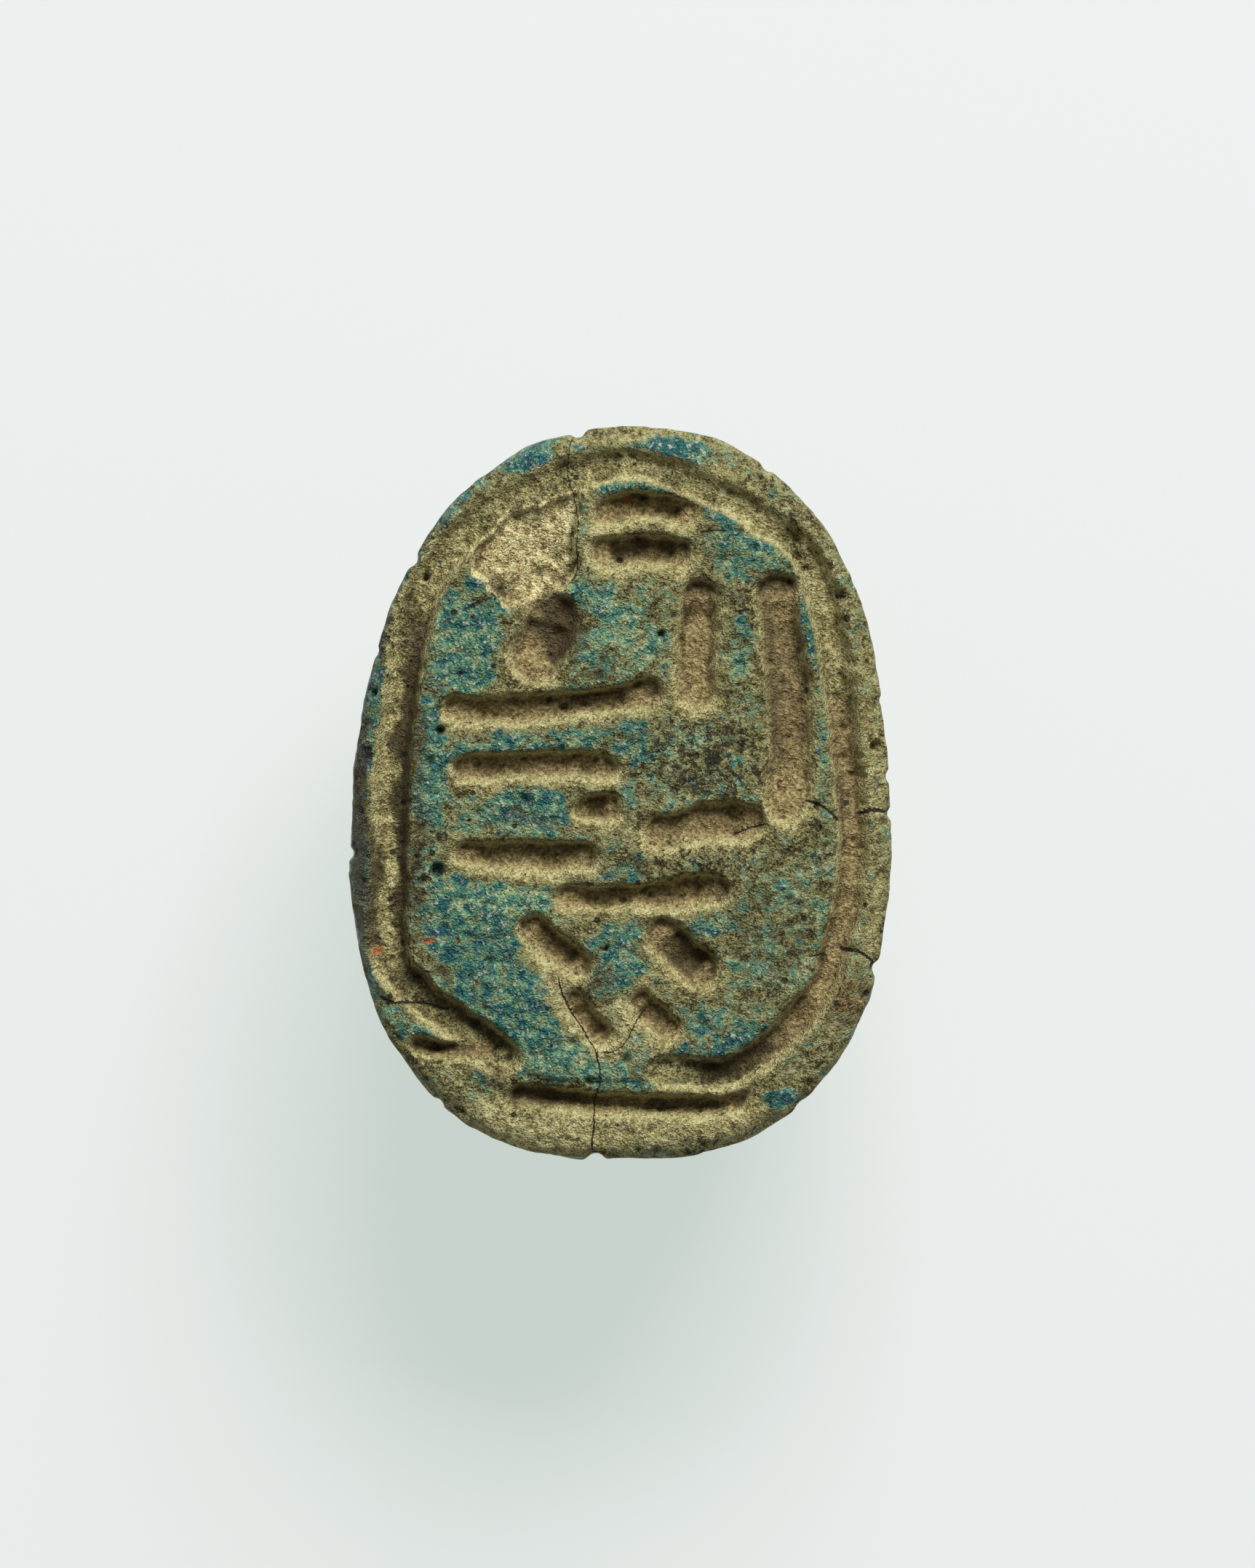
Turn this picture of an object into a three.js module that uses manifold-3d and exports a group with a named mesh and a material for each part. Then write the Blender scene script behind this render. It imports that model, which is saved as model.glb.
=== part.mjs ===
// Scarab amulet, moulded in glazed composition and pierced lengthwise for a thread.
// One solid: an oval seal plate with a beetle on its other side. It lies on the beetle's
// back, with the seal face uppermost.
//
// Millimetres. +Z points out of the seal face and +Y towards the beetle's head. The origin
// lies under the middle of the seal face, on the worn flat of the back.
import * as THREE from "three";
import { mergeVertices } from "three/addons/utils/BufferGeometryUtils.js";
import Module from "manifold-3d";

const wasm = await Module();
wasm.setup();

// ---- driving dimensions ----
const LENGTH = 16.0;
const WIDTH = 11.8;
const HEIGHT = 7.2;
const PLATE_THICKNESS = 1.35;
const RIM_ROUND = 0.28; // radius of the plate's edge at the seal face
const LEDGE_ROUND = 0.2; // and at the beetle's side
const THREAD_HOLE_RADIUS = 0.75;
const THREAD_HOLE_DEPTH = 2.95; // from the seal face to the hole's axis
const GLAZE = { color: 0x5f7f6c, roughness: 0.6, metalness: 0.0 };

// ---- outline of the seal plate: an oval that is squarer at the tail and leans a little ----
const OVAL_HALF_WIDTH = 5.85;
const OVAL_HALF_LENGTH = 7.92;
const HEAD_SQUARENESS = 2.3; // superellipse exponents: 2 is an ellipse
const TAIL_SQUARENESS = 2.5;
const TAIL_FULLNESS = 0.0125;
const LEAN = 0.01;
const LOBES = 0.018;
const LOBE_TURN = THREE.MathUtils.degToRad(67);

// ---- beetle ----
const BODY_INSET = 0.85; // from the plate's edge to the body's side, between the legs
const BODY_SQUARENESS = 2.5;
const WORN_FLAT_DEPTH = 0.14; // how much of the dome the flat of the back has lost
const HEAD_SLOPE = { share: 0.3, from: 3.6, to: 7.2 }; // the back falls towards the head
// The legs are round ridges folded against the side. Each runs through three points, given by
// degrees round from the head and millimetres from the seal face, and sinks at both ends.
const LEG_RADIUS = 0.58;
const LEG_RISES = [0.22, 0.66, 0.3]; // of its crest above the body's side
const LEG_PATHS = [
  [[66, 4.2], [44, 3.0], [19, 2.25]],
  [[74, 4.0], [82, 2.75], [104, 2.25]],
  [[104, 4.2], [126, 3.05], [158, 2.25]],
];
const HEAD = { radii: [1.9, 1.1, 1.3], at: [0, 6.4], depth: 2.75 };

// ---- lines cut into the beetle's back, in plan, and their half width ----
const LINE_RADIUS = 0.17;
const BACK_LINES = [
  [[0, 1.3], [0, -2], [0, -5], [0, -6.7]], // between the wing cases
  [[-4.5, 1.7], [-2.4, 1.15], [0, 1.0], [2.4, 1.15], [4.5, 1.7]], // behind the thorax
  [[-2.9, 5.1], [-1.5, 4.75], [0, 4.65], [1.5, 4.75], [2.9, 5.1]], // behind the head
];

// ---- seal face: a border line, two short lines below it, and rows of shallow strokes ----
const CUT_DEPTH = 0.42;
const CUT_WALL = 0.1; // how far a cut's wall leans in from top to floor
// The border follows the plate's edge at these insets (degrees anticlockwise from +X, inset).
const BORDER_HALF_WIDTH = 0.29;
const BORDER_INSETS = [
  [-81, 1.8], [-67, 1.45], [-50, 1.2], [-34, 1.0], [-14, 0.8], [13, 0.9], [45, 0.75], [60, 0.87],
  [90, 0.79], [122, 0.6], [150, 0.68], [210, 0.7], [223, 1.0], [232, 1.33], [246, 1.6],
];
// Strokes run from one end to the other, bowed sideways by sag at the middle.
const STROKES = [
  // row 1
  { from: [-0.3, 6.1], to: [1.45, 6.05], sag: -0.12, width: 0.6 },
  { from: [-0.3, 5.2], to: [1.3, 5.15], sag: -0.08, width: 0.66 },
  // row 2
  { from: [-1.5, 3.8], to: [-1.85, 2.8], sag: 0, width: 1.05 },
  { from: [1.72, 4.2], to: [1.7, 2.2], sag: 0.04, width: 0.85 },
  { from: [3.45, 4.25], to: [3.6, -0.25], sag: -0.16, width: 0.92 },
  // row 3
  { from: [-3.55, 1.8], to: [0.6, 2.1], sag: 0.12, width: 0.62 },
  // row 4
  { from: [-3.35, 0.5], to: [-0.35, 0.52], sag: -0.04, width: 0.6 },
  { from: [-0.75, -0.42], to: [-0.2, -0.42], sag: 0, width: 0.62 },
  { from: [-3.3, -1.36], to: [-0.75, -1.4], sag: 0.05, width: 0.62 },
  { from: [0.95, -0.88], to: [2.8, -0.78], sag: -0.1, width: 0.85 },
  // row 5
  { from: [-1.1, -2.28], to: [2.1, -2.22], sag: 0.05, width: 0.6 },
  // row 6
  { from: [-1.9, -3.05], to: [-0.95, -3.75], sag: 0, width: 0.64 },
  { from: [0.95, -3.25], to: [1.75, -3.95], sag: 0, width: 0.82 },
  // row 7
  { from: [-1.0, -4.6], to: [-0.45, -5.3], sag: 0, width: 0.55 },
  { from: [0.45, -4.65], to: [1.1, -5.2], sag: 0, width: 0.55 },
  // short lines below the border
  { from: [-2.2, -6.6], to: [2.6, -6.8], sag: 0.18, width: 0.46 },
  { from: [-4.35, -5.5], to: [-2.9, -5.68], sag: 0.06, width: 0.42 },
];

// ---- a chip lost from the seal face, beside the head end of the thread hole ----
const CHIP_DEPTH = 0.36;
const CHIP = [
  [-0.91, 4.74], [-0.92, 6.7], [-2.4, 6.2], [-3.26, 5.35], [-3.2, 4.74], [-2.57, 4.11], [-1.55, 4.31],
];

// ---- how finely the solid is faceted ----
const SECTORS = 96;
const SIDE_ROWS = 10;
const BACK_ROWS = 6;
const SIDE_SHARE = 0.8; // the side rows reach down this share of the body's depth
const LEG_FACETS = { sides: 10, steps: 10 };
const LINE_FACETS = { sides: 6, steps: 20 };
const HEAD_FACETS = [24, 12];
const HOLE_SIDES = 24;
const BORDER_STEP = 5; // degrees

const { degToRad, lerp, clamp, smoothstep } = THREE.MathUtils;
const BODY_DEPTH = HEIGHT - PLATE_THICKNESS;

// A point of the oval as it would be before it is centred and brought to size.
function rawOval(angle) {
  const c = Math.cos(angle);
  const s = Math.sin(angle);
  const n = lerp(TAIL_SQUARENESS, HEAD_SQUARENESS, (1 + s) / 2);
  const reach = (Math.abs(c / OVAL_HALF_WIDTH) ** n + Math.abs(s / OVAL_HALF_LENGTH) ** n) ** (-1 / n);
  const shape = 1 - TAIL_FULLNESS * s + LEAN * Math.sin(2 * angle) - LOBES * Math.cos(3 * angle - LOBE_TURN);
  return new THREE.Vector2(c, s).multiplyScalar(reach * shape);
}

const rawBox = new THREE.Box2().setFromPoints(
  Array.from({ length: SECTORS }, (_, i) => rawOval((i / SECTORS) * 2 * Math.PI)),
);
const rawCentre = rawBox.getCenter(new THREE.Vector2());
const toSize = new THREE.Vector2(WIDTH, LENGTH).divide(rawBox.getSize(new THREE.Vector2()));

// A point of the plate's edge, moved in towards the middle by inset.
function oval(angle, inset = 0) {
  const edge = rawOval(angle).sub(rawCentre).multiply(toSize);
  return edge.setLength(edge.length() - inset);
}

// The share of the body's depth at a share k of the way from its middle to its side.
const domeDepth = (k) => Math.max(0, 1 - k ** BODY_SQUARENESS) ** (1 / BODY_SQUARENESS);

// The back's height at a place along the body, for a share t of the body's depth.
function backHeight(y, t) {
  const slope = 1 - HEAD_SLOPE.share * smoothstep(y, HEAD_SLOPE.from, HEAD_SLOPE.to);
  return Math.max(0, BODY_DEPTH - t * (BODY_DEPTH + WORN_FLAT_DEPTH) * slope);
}

// The solid's rows, from the seal face round the plate's edge to the back. Each gives a point
// for an angle.
function rows() {
  const diagonal = 1 - Math.SQRT1_2;
  const onPlate = (inset, z) => (angle) => [oval(angle, inset), z];
  const onBody = (k, t) => (angle) => {
    const p = oval(angle, BODY_INSET).multiplyScalar(k);
    return [p, backHeight(p.y, t)];
  };
  const side = Array.from({ length: SIDE_ROWS }, (_, i) => {
    const t = (SIDE_SHARE * (i + 1)) / SIDE_ROWS;
    return onBody(domeDepth(t), t);
  });
  const turn = domeDepth(SIDE_SHARE);
  const flat = domeDepth(BODY_DEPTH / (BODY_DEPTH + WORN_FLAT_DEPTH));
  const back = Array.from({ length: BACK_ROWS }, (_, i) => {
    const k = lerp(turn, flat, (i + 1) / BACK_ROWS);
    return onBody(k, domeDepth(k));
  });
  return [
    () => [new THREE.Vector2(), HEIGHT],
    onPlate(RIM_ROUND, HEIGHT),
    onPlate(RIM_ROUND * diagonal, HEIGHT - RIM_ROUND * diagonal),
    onPlate(0, HEIGHT - RIM_ROUND),
    onPlate(0, BODY_DEPTH + LEDGE_ROUND),
    onPlate(LEDGE_ROUND * diagonal, BODY_DEPTH + LEDGE_ROUND * diagonal),
    onPlate(LEDGE_ROUND, BODY_DEPTH),
    onPlate(BODY_INSET - 0.15, BODY_DEPTH),
    ...side,
    ...back,
    () => [new THREE.Vector2(), 0],
  ];
}

// The uncut amulet: a sphere whose rows are moved to the rows above.
function blankGeometry() {
  const profile = rows();
  const geometry = new THREE.SphereGeometry(1, SECTORS, profile.length - 1);
  const position = geometry.getAttribute("position");
  for (let i = 0; i < position.count; i++) {
    const row = Math.floor(i / (SECTORS + 1));
    const sector = (i % (SECTORS + 1)) % SECTORS;
    const [plan, z] = profile[row]((sector / SECTORS) * 2 * Math.PI);
    position.setXYZ(i, plan.x, plan.y, z);
  }
  return geometry;
}

// A round ridge along a leg's path, on the side that side gives: 1 is +X and -1 is -X.
function legGeometry(path, side) {
  const centres = path.map(([degrees, depth], i) => {
    const k = domeDepth((depth - PLATE_THICKNESS) / BODY_DEPTH);
    const plan = oval(degToRad(90 - side * degrees), BODY_INSET).multiplyScalar(k);
    plan.setLength(plan.length() + LEG_RISES[i] - LEG_RADIUS);
    return new THREE.Vector3(plan.x, plan.y, HEIGHT - depth);
  });
  return sweep(LEG_RADIUS, centres, LEG_FACETS);
}

function headGeometry() {
  return new THREE.SphereGeometry(1, ...HEAD_FACETS)
    .scale(...HEAD.radii)
    .translate(...HEAD.at, HEIGHT - HEAD.depth);
}

// A round bar of the given radius along a curve through the points.
function sweep(radius, points, { sides, steps }) {
  const section = Array.from({ length: sides }, (_, i) => {
    const turn = (i / sides) * 2 * Math.PI;
    return new THREE.Vector2(radius * Math.cos(turn), radius * Math.sin(turn));
  });
  return new THREE.ExtrudeGeometry(new THREE.Shape(section), {
    extrudePath: new THREE.CatmullRomCurve3(points),
    steps,
    bevelEnabled: false,
  });
}

// The band between two curves that lie either side of a line, as a shape.
function bandShape(points, halfWidth) {
  const left = [];
  const right = [];
  points.forEach((point, i) => {
    const before = points[Math.max(i - 1, 0)];
    const after = points[Math.min(i + 1, points.length - 1)];
    const across = after.clone().sub(before).normalize().rotateAround(new THREE.Vector2(), Math.PI / 2);
    left.push(point.clone().addScaledVector(across, halfWidth));
    right.unshift(point.clone().addScaledVector(across, -halfWidth));
  });
  return new THREE.Shape([...left, ...right]);
}

// The border line's centre, from its insets.
function borderLine() {
  const points = [];
  const last = BORDER_INSETS.length - 1;
  for (let degrees = BORDER_INSETS[0][0]; degrees <= BORDER_INSETS[last][0]; degrees += BORDER_STEP) {
    const i = clamp(BORDER_INSETS.findIndex(([at]) => at > degrees) - 1, 0, last - 1);
    const [[from, a], [to, b]] = [BORDER_INSETS[i], BORDER_INSETS[i + 1]];
    points.push(oval(degToRad(degrees), lerp(a, b, smoothstep(degrees, from, to))));
  }
  return points;
}

// A stroke with round ends, as a shape.
function strokeShape({ from, to, sag, width }) {
  const a = new THREE.Vector2(...from);
  const b = new THREE.Vector2(...to);
  const heading = b.clone().sub(a).angle();
  const across = new THREE.Vector2(-Math.sin(heading), Math.cos(heading));
  const middle = a.clone().lerp(b, 0.5).addScaledVector(across, -2 * sag);
  const half = width / 2;
  const side = (point, reach) => point.clone().addScaledVector(across, reach).toArray();
  return new THREE.Shape()
    .absarc(...b, half, heading - Math.PI / 2, heading + Math.PI / 2)
    .quadraticCurveTo(...side(middle, half), ...side(a, half))
    .absarc(...a, half, heading + Math.PI / 2, heading + 1.5 * Math.PI)
    .quadraticCurveTo(...side(middle, -half), ...side(b, -half));
}

// A cutter for the seal face: the shape at the surface, leaning in towards its floor.
function faceCutter(shape, depth = CUT_DEPTH) {
  const geometry = new THREE.ExtrudeGeometry(shape, {
    depth,
    bevelThickness: depth,
    bevelSize: CUT_WALL,
    bevelOffset: -CUT_WALL,
    bevelSegments: 1,
    curveSegments: 3,
  });
  return geometry.translate(0, 0, HEIGHT);
}

// A cutter that follows the back along a line drawn in plan.
function backCutter(line) {
  const onBack = line.map(([x, y]) => {
    const k = Math.hypot(x, y) / oval(Math.atan2(y, x), BODY_INSET).length();
    return new THREE.Vector3(x, y, backHeight(y, domeDepth(k)));
  });
  return sweep(LINE_RADIUS, onBack, LINE_FACETS);
}

// The hole for the thread, from the head to the tail.
function holeCutter() {
  const past = LENGTH + 2;
  return new THREE.CylinderGeometry(THREAD_HOLE_RADIUS, THREAD_HOLE_RADIUS, past, HOLE_SIDES)
    .translate(0, 0, HEIGHT - THREAD_HOLE_DEPTH);
}

function toSolid(geometry) {
  const bare = geometry.index ? geometry.toNonIndexed() : geometry.clone();
  bare.deleteAttribute("normal");
  bare.deleteAttribute("uv");
  const merged = mergeVertices(bare, 1e-4);
  const triVerts = new Uint32Array(merged.index.array);
  return new wasm.Manifold(
    new wasm.Mesh({ numProp: 3, vertProperties: merged.attributes.position.array, triVerts }),
  );
}

function toGeometry(solid) {
  const mesh = solid.getMesh();
  return new THREE.BufferGeometry()
    .setAttribute("position", new THREE.BufferAttribute(mesh.vertProperties, 3))
    .setIndex(new THREE.BufferAttribute(mesh.triVerts, 1))
    .toNonIndexed();
}

const added = [headGeometry(), ...LEG_PATHS.flatMap((path) => [legGeometry(path, 1), legGeometry(path, -1)])];
const cut = [
  faceCutter(bandShape(borderLine(), BORDER_HALF_WIDTH)),
  faceCutter(new THREE.Shape(CHIP.map((point) => new THREE.Vector2(...point))), CHIP_DEPTH),
  ...STROKES.map((stroke) => faceCutter(strokeShape(stroke))),
  ...BACK_LINES.map(backCutter),
  holeCutter(),
];
const uncut = added.reduce((solid, piece) => solid.add(toSolid(piece)), toSolid(blankGeometry()));
const amulet = cut.reduce((solid, cutter) => solid.subtract(toSolid(cutter)), uncut);
const geometry = toGeometry(amulet);
geometry.computeVertexNormals();

const scarab = new THREE.Mesh(geometry, new THREE.MeshStandardMaterial(GLAZE));
scarab.name = "scarab";

const group = new THREE.Group();
group.add(scarab);

export default group;
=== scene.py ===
# A scarab amulet of glazed composition, lying on the beetle's back with its seal face up.
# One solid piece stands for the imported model's one node. Sizes are in millimetres up to the
# point where a mesh, a light or the camera is made, and metres after it.
import itertools
import math

import bmesh
import bpy
import numpy as np
from mathutils import Matrix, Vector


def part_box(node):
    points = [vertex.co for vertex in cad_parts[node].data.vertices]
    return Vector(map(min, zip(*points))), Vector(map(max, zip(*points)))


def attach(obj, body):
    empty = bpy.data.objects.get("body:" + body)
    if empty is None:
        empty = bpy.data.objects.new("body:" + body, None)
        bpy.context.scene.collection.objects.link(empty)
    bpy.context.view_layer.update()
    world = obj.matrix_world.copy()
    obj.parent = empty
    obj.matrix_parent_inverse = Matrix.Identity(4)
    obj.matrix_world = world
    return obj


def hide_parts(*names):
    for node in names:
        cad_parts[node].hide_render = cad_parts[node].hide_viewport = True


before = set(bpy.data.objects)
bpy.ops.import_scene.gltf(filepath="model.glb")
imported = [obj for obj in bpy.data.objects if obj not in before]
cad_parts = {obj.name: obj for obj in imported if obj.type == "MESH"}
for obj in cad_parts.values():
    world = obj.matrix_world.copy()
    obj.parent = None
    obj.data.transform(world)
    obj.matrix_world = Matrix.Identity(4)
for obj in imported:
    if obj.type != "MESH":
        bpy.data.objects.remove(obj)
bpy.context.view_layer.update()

# ---------------------------------------------------------------------------------------
# The amulet: an oval seal plate with a beetle carved on its other side, pierced lengthwise
# for a thread. It is quartz paste pressed in a mould, cut with a point while leather hard and
# fired with a blue-green glaze, most of which has worn away.
# ---------------------------------------------------------------------------------------
MM = 0.001
low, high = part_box("scarab")
HALF_SIZE = np.array([high.x - low.x, high.y - low.y]) / 2 / MM
HEIGHT = (high.z - low.z) / MM
PLATE_THICKNESS = 1.35
BODY_DEPTH = HEIGHT - PLATE_THICKNESS

# The blank: a fine grid for the seal face and one with half as many cells each way for the
# beetle's back. Each rim is drawn out into rows of cells, for the plate's edge and for the
# beetle's side, and the two rims are bridged.
FACE_CELLS = (196, 264)
BACK_CELLS = (FACE_CELLS[0] // 2, FACE_CELLS[1] // 2)
RIM_ROWS = 5
PLATE_SIDE_ROWS = 5
LEDGE_ROWS = 3
EDGE_ROWS = RIM_ROWS + PLATE_SIDE_ROWS + LEDGE_ROWS + 1
BODY_ROWS = 38


def draw_out(bm, cells, height, rows, step):
    """A grid over a square, with its rim drawn out into rows of cells."""
    lift = Matrix.Translation((0, 0, height))
    grid = bmesh.ops.create_grid(bm, x_segments=cells[0], y_segments=cells[1], size=1, matrix=lift)
    rim = {edge for vert in grid["verts"] for edge in vert.link_edges if edge.is_boundary}
    for _ in range(rows):
        drawn = bmesh.ops.extrude_edge_only(bm, edges=list(rim))["geom"]
        verts = [item for item in drawn if isinstance(item, bmesh.types.BMVert)]
        bmesh.ops.translate(bm, verts=verts, vec=(0, 0, step))
        rim = {item for item in drawn if isinstance(item, bmesh.types.BMEdge) and item.is_boundary}


amulet = bmesh.new()
draw_out(amulet, FACE_CELLS, 0, EDGE_ROWS, -1)
draw_out(amulet, BACK_CELLS, -(EDGE_ROWS + 1 + BODY_ROWS), BODY_ROWS, 1)
bmesh.ops.bridge_loops(amulet, edges=[edge for edge in amulet.edges if edge.is_boundary])
bmesh.ops.recalc_face_normals(amulet, faces=amulet.faces)

# Each point of the blank as an angle round the oval, a share of the way out and a row down.
blank = np.array([vert.co for vert in amulet.verts])
across, along, row = blank[:, 0], blank[:, 1], -blank[:, 2]
disc = np.stack([across * np.sqrt(1 - along**2 / 2), along * np.sqrt(1 - across**2 / 2)], 1)
angle = np.arctan2(disc[:, 1], disc[:, 0])
share = np.hypot(disc[:, 0], disc[:, 1])

# The outline of the plate: an oval that is squarer at the tail and leans a little.
OVAL_HALF = (5.85, 7.92)
HEAD_SQUARENESS = 2.3
TAIL_SQUARENESS = 2.5
TAIL_FULLNESS = 0.0125
LEAN = 0.01
LOBES = 0.018
LOBE_TURN = math.radians(67)
OVAL_STEPS = 720


def raw_oval(at):
    """The oval before it is centred and brought to size."""
    cosine, sine = np.cos(at), np.sin(at)
    squareness = TAIL_SQUARENESS + (HEAD_SQUARENESS - TAIL_SQUARENESS) * (1 + sine) / 2
    wide = np.abs(cosine / OVAL_HALF[0]) ** squareness
    long = np.abs(sine / OVAL_HALF[1]) ** squareness
    reach = (wide + long) ** (-1 / squareness)
    shape = 1 - TAIL_FULLNESS * sine + LEAN * np.sin(2 * at) - LOBES * np.cos(3 * at - LOBE_TURN)
    return np.stack([cosine, sine], -1) * (reach * shape)[..., None]


whole_oval = raw_oval(np.linspace(0, 2 * math.pi, OVAL_STEPS + 1))
oval_middle = (whole_oval.min(0) + whole_oval.max(0)) / 2
oval_scale = 2 * HALF_SIZE / (whole_oval.max(0) - whole_oval.min(0))


def oval(at, inset=0):
    """A point of the plate's edge, moved in towards the middle."""
    edge = (raw_oval(at) - oval_middle) * oval_scale
    reach = np.linalg.norm(edge, axis=-1, keepdims=True)
    return edge * (1 - np.asarray(inset)[..., None] / reach)


def soft_step(value, start, end):
    """From 0 at start to 1 at end, easing in and out."""
    t = np.clip((value - start) / (end - start), 0, 1)
    return t * t * (3 - 2 * t)


# The edge of the plate: the face rolls over a worn rim, drops to the ledge and turns in to
# the beetle's side.
RIM_WIDTH = 0.5
RIM_DROP = 0.42
RIM_TURN = math.radians(52)  # how far round the rim the face's grid reaches
LEDGE_ROUND = 0.22
LEDGE_GAP = 0.1  # between the ledge's last row and the beetle's side
BODY_INSET = 0.85
rim_turns = np.linspace(RIM_TURN, math.pi / 2, RIM_ROWS + 1)[1:]
side_drops = np.linspace(RIM_DROP, PLATE_THICKNESS - LEDGE_ROUND, PLATE_SIDE_ROWS + 1)[1:]
ledge_turns = np.linspace(0, math.pi / 2, LEDGE_ROWS + 1)[1:]
edge_insets = np.concatenate([
    [RIM_WIDTH * (1 - math.sin(RIM_TURN))],
    RIM_WIDTH * (1 - np.sin(rim_turns)),
    0 * side_drops,
    LEDGE_ROUND * (1 - np.cos(ledge_turns)),
    [BODY_INSET - LEDGE_GAP],
])
edge_drops = np.concatenate([
    [RIM_DROP * (1 - math.cos(RIM_TURN))],
    RIM_DROP * (1 - np.cos(rim_turns)),
    side_drops,
    PLATE_THICKNESS - LEDGE_ROUND * (1 - np.sin(ledge_turns)),
    [PLATE_THICKNESS],
])

# The beetle's body: a dome, a little worn flat on top and falling towards the head.
BODY_SQUARENESS = 2.5
WORN_FLAT_DEPTH = 0.14
HEAD_SLOPE = {"share": 0.3, "start": 3.6, "end": 7.2}
BACK_SHARE = 0.62  # of the way out, where the back's grid ends and the side's rows begin
SECTION_STEPS = 2000


def dome_depth(out):
    """The share of the body's depth at a share of the way from its middle to its side."""
    return np.clip(1 - out**BODY_SQUARENESS, 0, 1) ** (1 / BODY_SQUARENESS)


def back_height(y, depth_share):
    """How high the beetle's surface lies, which is 0 at the flat worn on its back."""
    slope = 1 - HEAD_SLOPE["share"] * soft_step(y, HEAD_SLOPE["start"], HEAD_SLOPE["end"])
    return np.maximum(0, BODY_DEPTH - depth_share * (BODY_DEPTH + WORN_FLAT_DEPTH) * slope)


# The side's rows are evenly spaced along the dome's section.
section_out = np.cos(np.linspace(0, math.pi / 2, SECTION_STEPS + 1)) ** (2 / BODY_SQUARENESS)
section_depth = dome_depth(section_out)
section_run = np.hypot(np.diff(section_out) * HALF_SIZE.mean(), np.diff(section_depth) * BODY_DEPTH)
section_run = np.concatenate([[0], np.cumsum(section_run)])
side_length = np.interp(-BACK_SHARE, -section_out, section_run)
row_run = np.linspace(0, side_length, BODY_ROWS + 1)
row_out = np.interp(row_run, section_run, section_out)
row_depth = np.interp(row_run, section_run, section_depth)

on_face = row < 0.5
on_body = row > EDGE_ROWS + 0.5
on_back = row > EDGE_ROWS + BODY_ROWS + 0.5

plate_rows = np.arange(EDGE_ROWS + 1)
plate_inset = np.interp(row, plate_rows, edge_insets)
plate_plan = oval(angle, plate_inset) * share[:, None]
inset = np.linalg.norm(oval(angle), axis=1) - np.linalg.norm(plate_plan, axis=1)
rim_reach = np.clip((RIM_WIDTH - inset) / RIM_WIDTH, 0, 1)
face_drop = RIM_DROP * (1 - np.sqrt(1 - rim_reach**2))
plate_drop = np.where(on_face, face_drop, np.interp(row, plate_rows, edge_drops))

body_rows = np.arange(BODY_ROWS + 1)
body_row = np.clip(row - (EDGE_ROWS + 1), 0, BODY_ROWS)
out = np.where(on_back, BACK_SHARE * share, np.interp(body_row, body_rows, row_out))
depth = np.where(on_back, dome_depth(out), np.interp(body_row, body_rows, row_depth))
body_plan = oval(angle, BODY_INSET) * out[:, None]

form = np.empty((len(blank), 3))
form[:, :2] = np.where(on_body[:, None], body_plan, plate_plan)
form[:, 2] = np.where(on_body, back_height(body_plan[:, 1], depth), HEIGHT - plate_drop)


def place(bm, points):
    """Moves the mesh's points, given in millimetres, and gives back its new normals."""
    for vert, point in zip(bm.verts, points * MM):
        vert.co = point
    bm.normal_update()
    return np.array([vert.normal for vert in bm.verts])


normals = place(amulet, form)

# The legs lie folded against the side as round ridges with fine notches across them. Each has
# three points, in degrees round from the head and depth below the face.
LEG_RADIUS = 0.58
LEG_RISES = (0.22, 0.66, 0.3)  # how far a leg stands out at its three points
LEG_PATHS = (
    ((66, 4.2), (44, 3.0), (19, 2.25)),
    ((74, 4.0), (82, 2.75), (104, 2.25)),
    ((104, 4.2), (126, 3.05), (158, 2.25)),
)
LEG_STEPS = 8  # to each stretch of its curve, as in every line below
NOTCH_SPACING = 0.42
NOTCH_DEPTH = 0.05
NOTCH_WAVE = 0.8  # how near a wave's top a notch begins, which sets how narrow it is
NOTCHED_RISE = 0.2  # how far a leg stands out before it has notches


def dots(first, second):
    """The dot product of each row with the other array's same row."""
    return np.einsum("ij,ij->i", first, second)


def smooth_line(corners, steps):
    """Points along a curve through the corners."""
    lead_in = 2 * corners[:1] - corners[1:2]
    lead_out = 2 * corners[-1:] - corners[-2:-1]
    held = np.concatenate([lead_in, corners, lead_out])
    t = np.linspace(0, 1, steps, endpoint=False)[:, None]
    spans = [
        start
        + t / 2 * (end - before)
        + t**2 * (before - 2.5 * start + 2 * end - after / 2)
        + t**3 * (1.5 * start - before / 2 - 1.5 * end + after / 2)
        for before, start, end, after in zip(held, held[1:], held[2:], held[3:])
    ]
    return np.concatenate([*spans, corners[-1:]])


def nearest_on_line(points, line):
    """For each point, the nearest point of a line, and the share of the line run by then."""
    best = np.full(len(points), np.inf)
    nearest = np.zeros_like(points)
    run = np.zeros(len(points))
    lengths = np.linalg.norm(np.diff(line, axis=0), axis=1)
    starts = np.concatenate([[0], np.cumsum(lengths)])
    for begin, end, start, length in zip(line[:-1], line[1:], starts, lengths):
        t = np.clip((points - begin) @ (end - begin) / length**2, 0, 1)
        at = begin + t[:, None] * (end - begin)
        away = np.linalg.norm(points - at, axis=1)
        closer = away < best
        best = np.where(closer, away, best)
        nearest = np.where(closer[:, None], at, nearest)
        run = np.where(closer, (start + t * length) / starts[-1], run)
    return nearest, run


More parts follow.
